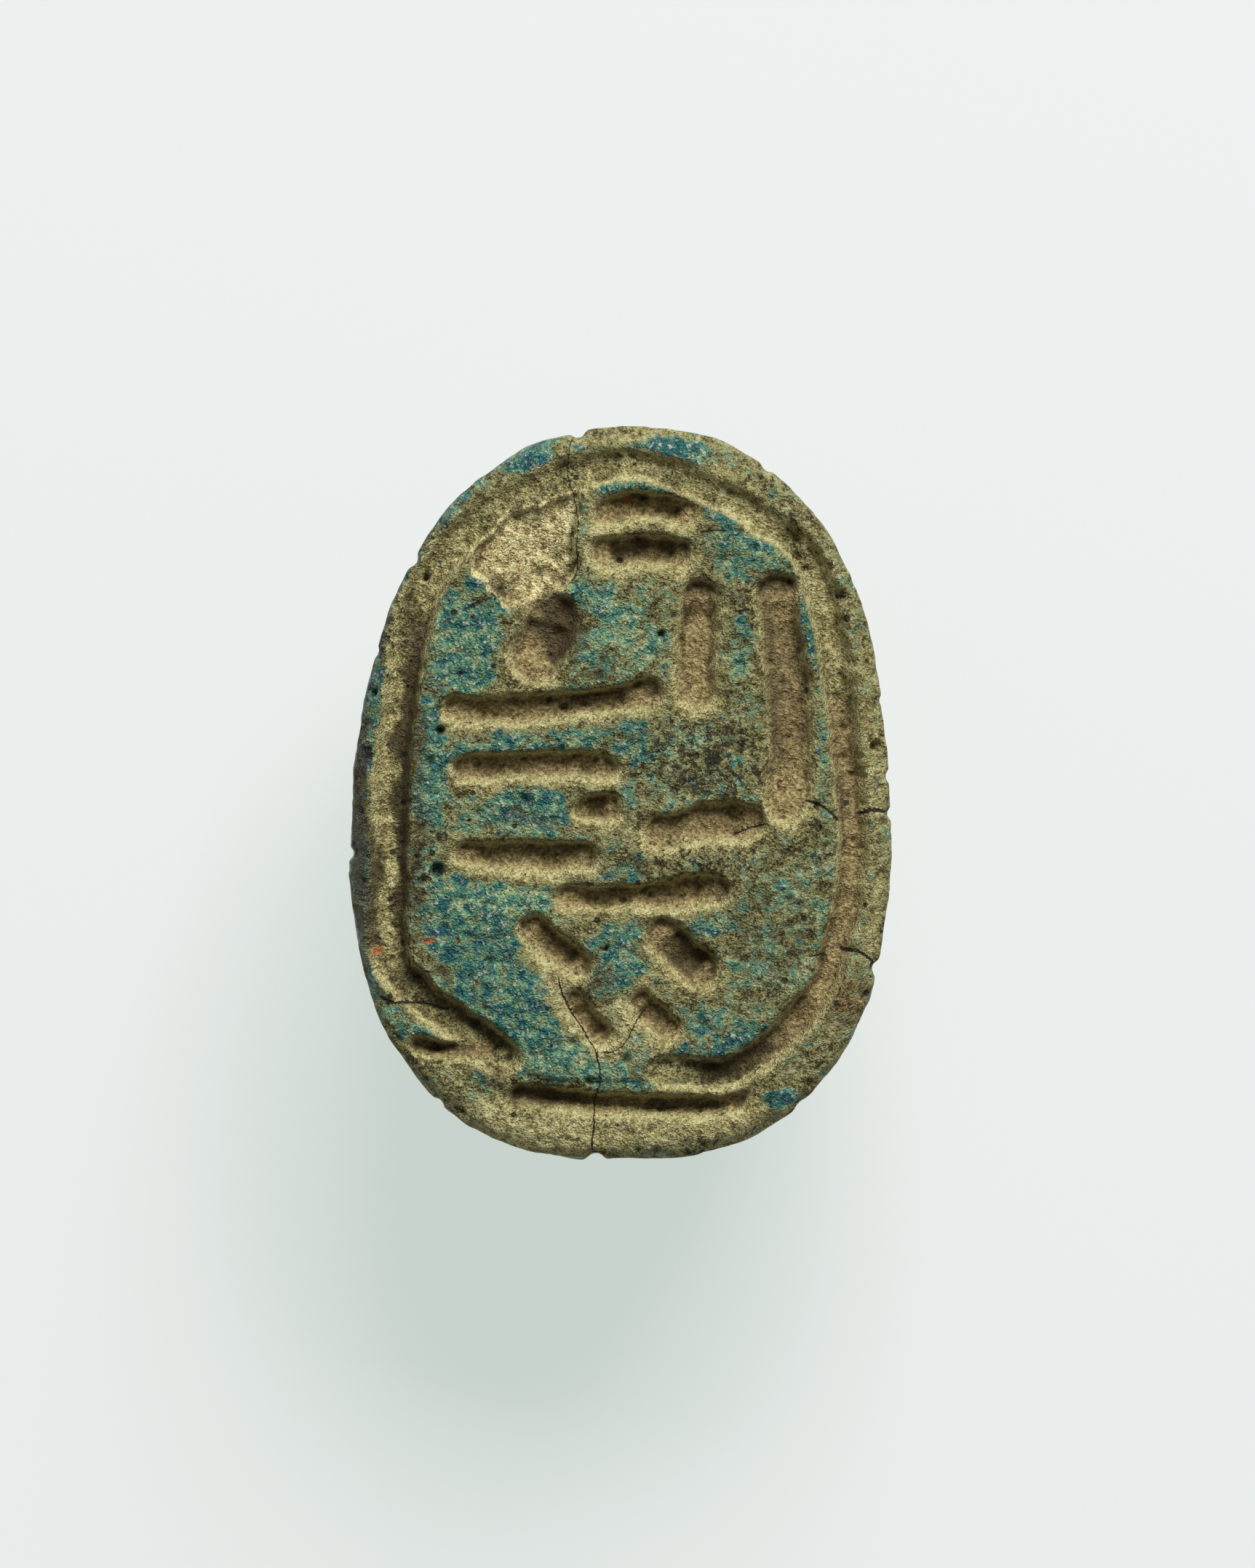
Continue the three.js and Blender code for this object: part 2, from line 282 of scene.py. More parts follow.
def leg_line(path, hand):
    """The middle of a leg; hand is 1 for the legs at +X and -1 for those at -X."""
    corners = []
    for (degrees, deep), rise in zip(path, LEG_RISES):
        out = dome_depth((deep - PLATE_THICKNESS) / BODY_DEPTH)
        plan = oval(math.radians(90 - hand * degrees), BODY_INSET) * out
        plan *= 1 + (rise - LEG_RADIUS) / np.linalg.norm(plan)
        corners.append((*plan, HEIGHT - deep))
    return smooth_line(np.array(corners), LEG_STEPS)


side = np.flatnonzero(on_body & ~on_back)
side_rise = np.zeros(len(side))
leg_notch = np.zeros(len(side))
for path, hand in itertools.product(LEG_PATHS, (1, -1)):
    line = leg_line(path, hand)
    nearest, run = nearest_on_line(form[side], line)
    offset = form[side] - nearest
    outward = dots(offset, normals[side])
    sideways = np.maximum(dots(offset, offset) - outward**2, 0)
    rise = np.sqrt(np.maximum(LEG_RADIUS**2 - sideways, 0)) - outward
    rise[sideways > LEG_RADIUS**2] = 0
    higher = rise > side_rise
    length = np.linalg.norm(np.diff(line, axis=0), axis=1).sum()
    notch = np.cos(2 * math.pi * run * length / NOTCH_SPACING) > NOTCH_WAVE
    leg_notch = np.where(higher, notch * (rise > NOTCHED_RISE), leg_notch)
    side_rise = np.where(higher, rise, side_rise)

# The head stands out between the front legs: each point of the side moves out along its normal
# to where that leaves an egg-shaped lump.
HEAD_RADII = np.array([1.9, 1.1, 1.3])
HEAD_PLACE = np.array([0, 6.4, HEIGHT - 2.75])
HEAD_MOST_RISE = 1.2  # how far a point can move out
start = (form[side] - HEAD_PLACE) / HEAD_RADII
heading = normals[side] / HEAD_RADII
speed = dots(heading, heading)
drift = dots(heading, start)
beyond = dots(start, start) - 1
found = drift**2 - speed * beyond
head_rise = np.where(found > 0, (np.sqrt(np.maximum(found, 0)) - drift) / speed, 0)
side_rise = np.maximum(side_rise, np.clip(head_rise, 0, HEAD_MOST_RISE))
form[side] += normals[side] * (side_rise - NOTCH_DEPTH * leg_notch)[:, None]

# The hole for the thread: the cells over its mouths are taken out, what is left of them is
# drawn to a round edge, and the two edges are joined by a tube.
HOLE_RADIUS = 0.75
HOLE_HEIGHT = HEIGHT - 2.95
HOLE_RINGS = 36


def over_mouth(face):
    """Whether the thread hole comes out through a face, at either end."""
    middle_x, middle_y, middle_z = [value / MM for value in face.calc_center_median()]
    from_hole = math.hypot(middle_x, middle_z - HOLE_HEIGHT)
    return from_hole < HOLE_RADIUS and abs(middle_y) > HALF_SIZE[1] / 2


normals = place(amulet, form)
mouths = [face for face in amulet.faces if over_mouth(face)]
bmesh.ops.delete(amulet, geom=mouths, context="FACES")
lips = [edge for edge in amulet.edges if edge.is_boundary]
for vert in {vert for edge in lips for vert in edge.verts}:
    x, z = vert.co.x / MM, vert.co.z / MM - HOLE_HEIGHT
    pull = HOLE_RADIUS / math.hypot(x, z)
    vert.co.x = x * pull * MM
    vert.co.z = (z * pull + HOLE_HEIGHT) * MM
tube = bmesh.ops.bridge_loops(amulet, edges=lips)
bmesh.ops.subdivide_edges(amulet, edges=tube["edges"], cuts=HOLE_RINGS, use_grid_fill=True)
bmesh.ops.triangulate(amulet, faces=[face for face in amulet.faces if len(face.verts) > 4])
bmesh.ops.recalc_face_normals(amulet, faces=amulet.faces)
amulet.normal_update()
form = np.array([vert.co for vert in amulet.verts]) / MM
normals = np.array([vert.normal for vert in amulet.verts])

# How high each point stands on the seal face: 1 on the face, 0 down its edge.
EDGE_STARTS = 0.12  # below the face
EDGE_ENDS = 0.4
x, y, z = form.T
on_top = soft_step(z, HEIGHT - EDGE_ENDS, HEIGHT - EDGE_STARTS)

# Unevenness: random numbers that are the same each run, one for each cell of a lattice. The
# lattice is turned so that its cells don't line up with the mesh's.
CELL_PRIMES = np.array([73856093, 19349663, 83492791], np.uint64)
SEED_PRIME = 2654435761
MIXER = np.uint64(0x9E3779B97F4A7C15)
MIXER_SHIFTS = (33, 29, 31)
SHARE_BITS = 24
LATTICE_TURN = np.array([[0.8, 0.36, -0.48], [-0.6, 0.48, -0.64], [0, 0.8, 0.6]])


def lattice(cells, seed):
    """A repeatable random number from 0 to 1 for each whole-number cell."""
    mixed = (cells.astype(np.int64).astype(np.uint64) * CELL_PRIMES).sum(-1)
    mixed += np.uint64(seed * SEED_PRIME)
    for shift in MIXER_SHIFTS:
        mixed ^= mixed >> np.uint64(shift)
        mixed *= MIXER
    return (mixed >> np.uint64(64 - SHARE_BITS)) / float(2**SHARE_BITS)


def swell(size, seed):
    """Smooth random swells about as broad as size, from -1 to 1, at the form's points."""
    turned = form @ LATTICE_TURN
    cell = np.floor(turned / size)
    within = turned / size - cell
    within = within * within * (3 - 2 * within)
    total = 0
    for corner in itertools.product((0, 1), repeat=3):
        weight = np.where(corner, within, 1 - within).prod(-1)
        total = total + weight * lattice(cell + corner, seed)
    return 2 * total - 1


def uneven(*layers):
    """Swells laid over each other, each layer given by its height, breadth and seed."""
    return sum(tall * swell(broad, seed) for tall, broad, seed in layers)


def scatter(spacing, seed):
    """The distance to the nearest of many random points, and that point's own random number."""
    cell = np.floor(form / spacing)
    nearest = np.full(len(form), np.inf)
    own = np.zeros(len(form))
    for step in itertools.product((-1, 0, 1), repeat=3):
        jitter = np.stack([lattice(cell + step, seed + axis) for axis in range(3)], -1)
        away = np.linalg.norm((cell + step + jitter) * spacing - form, axis=1)
        own = np.where(away < nearest, lattice(cell + step, seed + 3), own)
        nearest = np.minimum(nearest, away)
    return nearest, own


# The cuts in the seal face wander a little, as a hand-held point does.
plan = form[:, :2].copy()
plan[:, 0] += uneven((0.07, 0.9, 1), (0.045, 0.3, 2))
plan[:, 1] += uneven((0.07, 0.9, 3), (0.045, 0.3, 4))

# The border: a line round the face, given by degrees from +X and how far in from the edge. Its
# outer wall is worn to a longer slope than its inner one, and it is shallower over the head and
# at its two ends.
CUT_DEPTH = 0.42
BORDER_HALF_WIDTH = 0.3
BORDER_OUTER = {"wall": 0.34, "past": 0.12}  # the wall's width, and its edge past the half width
BORDER_INNER = {"wall": 0.22, "past": 0.16}
LEFT_WIDENING = {"more": 0.05, "x": (-1, -4)}
HEAD_SHALLOWING = {"share": 0.45, "x": (-4.5, -2.5), "y": (4.0, 6.5)}
BORDER_END_SHARE = 0.35
BORDER_FULL = (0.03, 0.985)  # shares of its run, between which it is cut in full
BORDER_STEPS = 10
BORDER_INSETS = (
    (-81, 1.8), (-67, 1.45), (-50, 1.2), (-34, 1.0), (-14, 0.8),
    (13, 0.9), (45, 0.75), (60, 0.87), (90, 0.79), (122, 0.6),
    (150, 0.68), (210, 0.7), (223, 1.0), (232, 1.33), (246, 1.6),
)
degrees, border_inset = np.array(BORDER_INSETS, float).T
border = smooth_line(oval(np.radians(degrees), border_inset), BORDER_STEPS)
nearest, border_run = nearest_on_line(plan, border)
from_border = np.linalg.norm(plan - nearest, axis=1)
outside = np.linalg.norm(plan, axis=1) > np.linalg.norm(nearest, axis=1)
half_width = BORDER_HALF_WIDTH + LEFT_WIDENING["more"] * soft_step(x, *LEFT_WIDENING["x"])
half_width += uneven((0.04, 1.1, 10))
wall = np.where(outside, BORDER_OUTER["wall"], BORDER_INNER["wall"])
border_edge = half_width + np.where(outside, BORDER_OUTER["past"], BORDER_INNER["past"])
border_cut = 1 - soft_step(from_border, border_edge - wall, border_edge)
at_head = soft_step(y, *HEAD_SHALLOWING["y"]) * soft_step(x, *HEAD_SHALLOWING["x"])
off_ends = soft_step(border_run, 0, BORDER_FULL[0]) * soft_step(border_run, 1, BORDER_FULL[1])
border_depth = border_cut * (1 - HEAD_SHALLOWING["share"] * at_head)
border_depth *= BORDER_END_SHARE + (1 - BORDER_END_SHARE) * off_ends

# Rows of shallow strokes: start, end, how far the middle bows, width. Their upper walls are steeper than
# their lower ones, their ends are shallower, and the glaze has worn off their rims, which are paler most
# of all below, on the side facing the softbox: wear with painted light.
STROKE_EDGE = 0.12  # how far a stroke's edge lies past half its width
STROKE_WALL = 0.3  # the width of its wall
WALL_LEAN = 0.1  # how much narrower its upper wall is than that, and its lower one wider
STROKE_END_SHARE = 0.65  # of the depth, at its ends
STROKE_END_RUN = 0.16  # the share of its run over which an end reaches the full depth
STROKE_STEPS = 6
WORN_AND_LIT_RIM = {"start": 0.05, "end": 0.4, "amount": 0.55, "lean": 0.4}
TINY = 1e-6  # stands in for 0 in a division
STROKES = (
    ((-0.3, 6.1), (1.45, 6.05), -0.12, 0.6),
    ((-0.3, 5.2), (1.3, 5.15), -0.08, 0.66),
    ((-1.5, 3.8), (-1.85, 2.8), 0, 1.05),
    ((1.72, 4.2), (1.7, 2.2), 0.04, 0.85),
    ((3.45, 4.25), (3.6, -0.25), -0.16, 0.92),
    ((-3.55, 1.8), (0.6, 2.1), 0.12, 0.62),
    ((-3.35, 0.5), (-0.35, 0.52), -0.04, 0.6),
    ((-0.75, -0.42), (-0.2, -0.42), 0, 0.62),
    ((-3.3, -1.36), (-0.75, -1.4), 0.05, 0.62),
    ((0.95, -0.88), (2.8, -0.78), -0.1, 0.85),
    ((-1.1, -2.28), (2.1, -2.22), 0.05, 0.6),
    ((-1.9, -3.05), (-0.95, -3.75), 0, 0.64),
    ((0.95, -3.25), (1.75, -3.95), 0, 0.82),
    ((-1.0, -4.6), (-0.45, -5.3), 0, 0.55),
    ((0.45, -4.65), (1.1, -5.2), 0, 0.55),
    ((-2.2, -6.6), (2.6, -6.8), 0.18, 0.46),
    ((-4.35, -5.5), (-2.9, -5.68), 0.06, 0.42),
)
stroke_cut = np.zeros(len(form))
stroke_depth = np.zeros(len(form))
worn_and_lit_stroke_rim = np.zeros(len(form))
spread = 1 + uneven((0.22, 0.8, 11), (0.08, 0.3, 15))
for begin, end, sag, width in STROKES:
    begin, end = np.array(begin), np.array(end)
    sideways = np.array([begin[1] - end[1], end[0] - begin[0]]) / np.linalg.norm(end - begin)
    line = smooth_line(np.array([begin, (begin + end) / 2 - sag * sideways, end]), STROKE_STEPS)
    nearest, run = nearest_on_line(plan, line)
    away = np.linalg.norm(plan - nearest, axis=1)
    upward = (plan - nearest)[:, 1] / np.maximum(away, TINY)
    edge = width / 2 + STROKE_EDGE
    wall = STROKE_WALL - WALL_LEAN * upward
    cut = 1 - soft_step(away / spread, edge - wall, edge)
    off_ends = soft_step(run, 0, STROKE_END_RUN) * soft_step(run, 1, 1 - STROKE_END_RUN)
    stroke_cut = np.maximum(stroke_cut, cut)
    stroke_depth = np.maximum(stroke_depth, cut * (STROKE_END_SHARE + (1 - STROKE_END_SHARE) * off_ends))
    rim = 1 - soft_step(away / spread, width / 2 + WORN_AND_LIT_RIM["start"], width / 2 + WORN_AND_LIT_RIM["end"])
    worn_and_lit_stroke_rim = np.maximum(worn_and_lit_stroke_rim, rim * (WORN_AND_LIT_RIM["amount"] - WORN_AND_LIT_RIM["lean"] * upward))

# The chip beside the head end of the thread hole shows the bare grain of the body.
CHIP_DEPTH = 0.34
CHIP_WALL = (-0.04, 0.14)  # how far inside its outline its wall starts and ends
CHIP = (
    (-0.91, 4.74), (-0.92, 6.7), (-2.4, 6.2), (-3.26, 5.35), (-3.2, 4.74), (-2.57, 4.11), (-1.55, 4.31),
)


def inside_by(points, corners):
    """How far inside a closed outline each point lies; less than 0 outside it."""
    loop = np.array([*corners, corners[0]], float)
    nearest, _ = nearest_on_line(points, loop)
    away = np.linalg.norm(points - nearest, axis=1)
    inside = np.zeros(len(points), bool)
    for (x0, y0), (x1, y1) in zip(loop[:-1], loop[1:]):
        crosses = (y0 > points[:, 1]) != (y1 > points[:, 1])
        at = x0 + (points[:, 1] - y0) * (x1 - x0) / (y1 - y0 if y1 != y0 else 1)
        inside ^= crosses & (points[:, 0] < at)
    return np.where(inside, away, -away)


in_chip = inside_by(plan, CHIP) + uneven((0.09, 0.4, 50), (0.05, 0.17, 51))
chip_cut = soft_step(in_chip, *CHIP_WALL)

# Cracks: half the width of each one's gap, and points along it. The mesh dips along a crack,
# and the material draws its dark gap.
CRACK_REACH = 0.25  # how far to either side a crack has any effect
CRACK_TAPER = 0.06  # the share of its run over which it opens or closes
CRACK_DIP_HALF_WIDTH = 0.1
CRACK_DIP_DEPTH = 0.05
WIDE_GAP = 0.05  # the gap at which a crack has its whole dip
CRACK_STEPS = 5
CRACKS = (
    (0.012, ((-1.02, 8.0), (-1.07, 7.35), (-1.12, 6.95), (-1.0, 6.3), (-0.95, 5.6), (-0.93, 4.8),
             (-1.25, 4.45))),
    (0.02, ((-1.4, -3.9), (-1.2, -4.5), (-0.85, -5.1), (-0.52, -5.65), (-0.41, -6.2), (-0.57, -6.85),
            (-0.6, -8.0))),
    (0.015, ((0.58, -4.65), (0.02, -5.5), (-0.41, -5.65))),
    (0.03, ((4.02, -0.16), (4.42, -0.33), (4.79, -0.6))),
    (0.04, ((5.2, -0.42), (5.5, -0.36), (5.9, -0.38))),
    (0.02, ((2.5, -0.95), (3.2, -0.65))),
    (0.02, ((4.12, -3.5), (4.5, -3.45))),
    (0.04, ((4.8, -3.35), (5.2, -3.45), (5.65, -3.75))),
    (0.02, ((1.8, 5.7), (2.3, 5.73))),
    (0.03, ((-5.3, -4.45), (-4.7, -4.48), (-4.2, -4.55), (-3.7, -4.7))),
)
crack_gap = np.zeros(len(form))
crack_side = np.full(len(form), 1.0)
for width, corners in CRACKS:
    line = smooth_line(np.array(corners), CRACK_STEPS)
    nearest, run = nearest_on_line(plan, line)
    away = np.linalg.norm(plan - nearest, axis=1)
    step = np.clip((run * (len(line) - 1)).astype(int), 0, len(line) - 1)
    ahead = np.gradient(line, axis=0)[step]
    left = np.sign(ahead[:, 0] * (plan - nearest)[:, 1] - ahead[:, 1] * (plan - nearest)[:, 0])
    near = away < np.abs(crack_side)
    crack_side = np.where(near, away * left, crack_side)
    taper = soft_step(run, 0, CRACK_TAPER) * soft_step(run, 1, 1 - CRACK_TAPER)
    crack_gap = np.where(near, width * taper * (away < CRACK_REACH), crack_gap)
crack_cut = np.clip(1 - np.abs(crack_side) / CRACK_DIP_HALF_WIDTH, 0, 1) * crack_gap / WIDE_GAP

# Pits left by burst bubbles in the glaze: the larger ones by place and radius, and the rest
# scattered, by spacing, least radius, how much more it can be, how many places have no pit,
# depth and seed.
PIT_DEPTH = 0.22
PIT_WALL = (0.5, 1.25)  # shares of the radius where a pit's wall starts and ends
PITS = (
    (-3.97, -1.69, 0.17), (4.83, 4.32, 0.13), (5.6, 1.04, 0.12),
    (-4.24, 4.71, 0.11), (-3.92, 1.37, 0.1), (-2.55, -5.62, 0.3),
    (-0.3, -3.4, 0.08), (0.9, 3.5, 0.08), (-5.4, 2.2, 0.09),
)
SCATTERED_PITS = (
    (0.3, 0.04, 0.09, 0.45, 0.08, 20),
    (1.5, 0.1, 0.1, 0.4, 0.1, 30),
)
pit_cut = np.zeros(len(form))
for pit_x, pit_y, radius in PITS:
    reach = np.hypot(x - pit_x, y - pit_y) / radius
    pit_cut = np.maximum(pit_cut, PIT_DEPTH * (1 - soft_step(reach, *PIT_WALL)))
pit_cut *= on_top
for spacing, least, more, left_out, deep, seed in SCATTERED_PITS:
    away, own = scatter(spacing, seed)
    pit_cut += deep * np.clip(1 - (away / (least + more * own)) ** 2, 0, 1) * (own > left_out)

# Nicks in the edge of the plate: degrees from +X, how wide and how deep.
NICK_SHARE = 0.7  # of the depth, left after wear
NICK_WALL = (0.2, 1.4)  # shares of the width where a nick's wall starts and ends
NICKS = (
    (97, 0.16, 0.16), (265.7, 0.2, 0.2), (4, 0.13, 0.1), (-4, 0.12, 0.1),
    (-34, 0.16, 0.14), (192, 0.13, 0.12), (132, 0.16, 0.12), (66, 0.15, 0.08),
    (239, 0.14, 0.1), (20, 0.1, 0.06), (150, 0.12, 0.07), (300, 0.15, 0.06),
)
nick_cut = np.zeros(len(form))
for degree, width, deep in NICKS:
    at = oval(math.radians(degree))
    reach = np.hypot(x - at[0], y - at[1]) / width
    nick = NICK_SHARE * deep * (1 - soft_step(reach, *NICK_WALL))
    nick_cut = np.maximum(nick_cut, nick * (z > BODY_DEPTH))

# The face is cut straight down. Outside the border it lies a little lower than inside.
OUTSIDE_DROP = 0.07
OUTSIDE_SLOPE = (0.3, 0.6)  # how far from the border's middle the drop starts and ends
recess = np.maximum(border_cut, stroke_cut)
cut_depth = CUT_DEPTH + uneven((0.06, 1.3, 12), (0.03, 0.4, 13))
chip_depth = CHIP_DEPTH + uneven((0.05, 0.3, 5), (0.03, 0.14, 6))
face_cut = np.maximum(np.maximum(border_depth, stroke_depth) * cut_depth, chip_cut * chip_depth)
face_cut += CRACK_DIP_DEPTH * crack_cut
face_cut += OUTSIDE_DROP * soft_step(np.where(outside, from_border, 0), *OUTSIDE_SLOPE)
form[:, 2] -= on_top * face_cut

# Lines cut into the beetle's back, in plan: down the middle between the wing cases, across
# in front of them, and across behind the head.
BACK_LINE_DEPTH = 0.18
BACK_LINE_WIDTHS = (0.06, 0.24)  # half widths at the bottom and at the top
BACK_START = 2.2  # below the seal face
BACK_LINE_STEPS = 8
BACK_LINES = (
    ((0, 1.3), (0, -2), (0, -5), (0, -6.7)),
    ((-4.5, 1.7), (-2.4, 1.15), (0, 1.0), (2.4, 1.15), (4.5, 1.7)),
    ((-2.9, 5.1), (-1.5, 4.75), (0, 4.65), (1.5, 4.75), (2.9, 5.1)),
)
back_cut = np.zeros(len(form))
for corners in BACK_LINES:
    nearest, _ = nearest_on_line(plan, smooth_line(np.array(corners, float), BACK_LINE_STEPS))
    away = np.linalg.norm(plan - nearest, axis=1)
    cut = 1 - soft_step(away, *BACK_LINE_WIDTHS)
    back_cut = np.maximum(back_cut, cut * (z < HEIGHT - BACK_START))

# Grain: the paste is uneven at every size down to the sand in it, and rubbed smoother round
# the edge and on the beetle. The flat that it lies on stays flat.
RUBBED_SHARE = 0.4
FLAT_FADE = 0.25  # how high above the flat the grain is whole
grain = uneven((0.05, 1.0, 7))
grain += (RUBBED_SHARE + (1 - RUBBED_SHARE) * on_top) * uneven((0.048, 0.4, 8), (0.032, 0.19, 9))
sunk = BACK_LINE_DEPTH * back_cut + pit_cut + nick_cut
off_flat = soft_step(form[:, 2], 0, FLAT_FADE)
form += normals * ((grain - sunk) * off_flat)[:, None]
normals = place(amulet, form)

mesh = bpy.data.meshes.new("scarab_skin")
amulet.to_mesh(mesh)
amulet.free()
for polygon in mesh.polygons:
    polygon.use_smooth = True

# How far each point lies below its surroundings, which the material uses to darken the hollows with dirt
# and painted shade.
NEAR_ROUNDS = 3
FAR_ROUNDS = 15
edge_ends = np.empty(2 * len(mesh.edges), int)
mesh.edges.foreach_get("vertices", edge_ends)
edge_ends = edge_ends.reshape(-1, 2)
both_ways = np.concatenate([edge_ends, edge_ends[:, ::-1]])
here, there = both_ways.T
joined = np.bincount(here, minlength=len(form))[:, None]


def evened(points, rounds):
    """The points, each moved to the middle of its neighbours a number of times."""
    for _ in range(rounds):
        beside = [np.bincount(here, points[there, axis], len(form)) for axis in range(3)]
        points = np.stack(beside, 1) / joined
    return points


near_by = evened(form, NEAR_ROUNDS)
hollow_fine = dots(near_by - form, normals)
hollow = dots(evened(near_by, FAR_ROUNDS) - form, normals)

# What is left of the glaze, in patches: middle, half lengths, turn in degrees, how much glaze
# from 0, none, to 1.3, and how blue from 0, green, to 1.
GLAZE = (
    (-1.85, 7.3, 0.75, 0.25, 27, 1.2, 0.95), (-0.5, 7.5, 0.35, 0.22, 5, 0.8, 0.6),
    (1.0, 7.5, 0.95, 0.25, -6, 1.3, 0.95), (-3.5, 6.3, 1.1, 0.3, 45, 0.75, 0.7),
    (-4.7, 4.7, 1.1, 0.22, 60, 0.6, 0.6), (-5.5, 1.8, 0.3, 2.2, -6, 0.7, 0.7),
    (-5.68, -2.0, 0.3, 2.0, 3, 0.85, 0.75), (-4.5, -5.0, 0.9, 0.35, -42, 0.8, 0.45),
    (3.57, -6.67, 0.32, 0.2, 15, 1.3, 1.0), (-3.2, -6.35, 0.5, 0.2, -30, 0.6, 0.8),
    (5.55, -0.9, 0.2, 0.5, 0, 0.7, 0.6), (5.5, -1.7, 0.15, 0.4, 5, 0.6, 0.5),
    (-3.3, 3.3, 0.8, 1.35, -12, 0.95, 0.65), (-4.0, 1.6, 0.45, 0.7, 0, 0.9, 0.7),
    (0.0, 3.3, 1.1, 1.1, 0, 0.65, 0.4), (0.6, 6.75, 1.5, 0.3, -8, 0.85, 0.7),
    (2.2, 6.35, 0.7, 0.35, -30, 0.85, 0.75), (2.9, 5.3, 1.1, 0.6, -15, 0.8, 0.55),
    (4.25, 3.4, 0.35, 1.5, 10, 0.85, 0.7), (4.35, 1.2, 0.3, 1.2, 0, 0.6, 0.5),
    (-2.3, 1.1, 2.0, 0.4, 5, 0.95, 0.65), (-4.1, 0.2, 0.4, 1.5, 0, 0.85, 0.65),
    (-1.9, -0.45, 1.15, 0.6, -3, 1.0, 0.7), (0.3, 1.2, 0.6, 0.7, 0, 0.75, 0.6),
    (-3.2, -3.1, 1.1, 1.4, 20, 1.0, 0.75), (-2.4, -4.9, 1.4, 1.1, -20, 1.05, 0.7),
    (-1.0, -5.9, 1.0, 0.5, 0, 0.9, 0.55), (-0.1, -3.6, 0.85, 1.1, 0, 0.85, 0.6),
    (2.0, -2.7, 0.95, 0.4, 5, 0.75, 0.6), (-0.5, -1.75, 1.0, 0.3, 3, 0.85, 0.75),
    (3.2, -3.4, 0.8, 1.2, 0, 0.3, 0.35), (2.7, -5.35, 0.7, 0.3, 30, 0.95, 1.0),
    (1.3, -5.75, 0.8, 0.35, 15, 0.8, 0.75), (1.3, -6.5, 0.35, 0.14, 0, 1.3, 1.0),
    (1.9, -4.8, 0.6, 0.5, 0, 0.7, 0.6), (0.1, -0.3, 0.4, 0.9, 0, 0.7, 0.55),
    (2.5, 3.2, 0.3, 1.0, 0, 0.6, 0.5), (-0.7, 2.75, 0.35, 0.5, 0, 0.6, 0.5),
    (3.6, 0.2, 0.6, 1.2, 0, 0.3, 0.3), (-0.5, 4.4, 0.5, 0.6, 0, 0.9, 0.6),
    (1.6, 6.6, 0.6, 0.4, -15, 0.95, 0.75), (0.0, -6.3, 1.8, 0.22, 0, 0.8, 0.65),
    (-1.3, -7.4, 0.8, 0.25, -8, 0.5, 0.7), (-3.3, -5.3, 1.0, 0.3, -30, 0.9, 0.7),
    (-5.4, -3.4, 0.3, 1.0, 12, 0.8, 0.7), (-2.3, -2.4, 1.1, 0.6, -10, 1.1, 0.5),
)
GLAZE_OUTSIDE = 0.15
GLAZE_INSIDE = 0.36
GLAZE_BLUE = 0.3

# Soot, in patches: middle, half lengths, turn in degrees and how thick.
SOOT = (
    (1.85, 0.75, 1.4, 1.0, 0, 0.75), (1.7, -1.5, 1.3, 0.45, 0, 0.55),
    (-4.15, -1.4, 0.4, 0.7, 0, 0.6), (-5.65, 0.3, 0.25, 2.6, 0, 0.65),
    (-2.75, 4.25, 0.22, 0.1, -40, 0.9), (4.3, -1.3, 0.4, 0.5, 0, 0.5),
    (-4.4, 5.6, 1.2, 0.25, 50, 0.6), (2.75, 3.9, 0.2, 0.5, 0, 0.6),
    (-5.2, 3.4, 0.25, 1.2, -20, 0.7), (5.0, 4.6, 0.25, 1.2, 25, 0.4),
    (3.9, 6.2, 0.3, 0.8, 40, 0.5),
)
